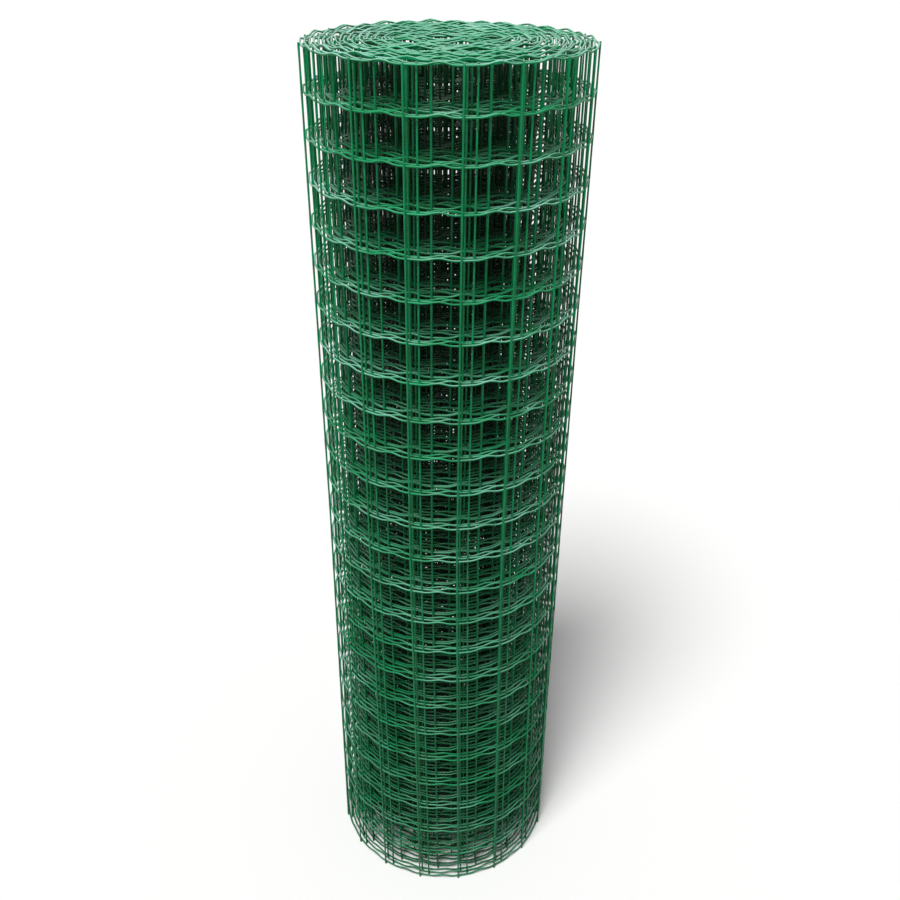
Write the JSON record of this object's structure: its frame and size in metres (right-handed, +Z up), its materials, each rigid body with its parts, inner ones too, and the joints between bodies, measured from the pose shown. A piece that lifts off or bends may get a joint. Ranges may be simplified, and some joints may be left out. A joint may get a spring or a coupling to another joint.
{
  "type": "roll of wire fencing",
  "caption": "Round roll of plastic-coated welded wire mesh fencing, standing on end, wound in a spiral round an open bore.",
  "frame": {"origin": "centre of the roll's foot, on the ground it stands on", "axes": "+Z up along the roll's axis and its bore; the camera of the picture looks along +Y"},
  "size_m": [0.3419, 0.342, 1.2138],
  "materials": {
    "green_coating": "glossy green PVC coat on steel wire"
  },
  "bodies": {
    "root": {"mesh_roll": "green_coating"}
  },
  "joints": []
}
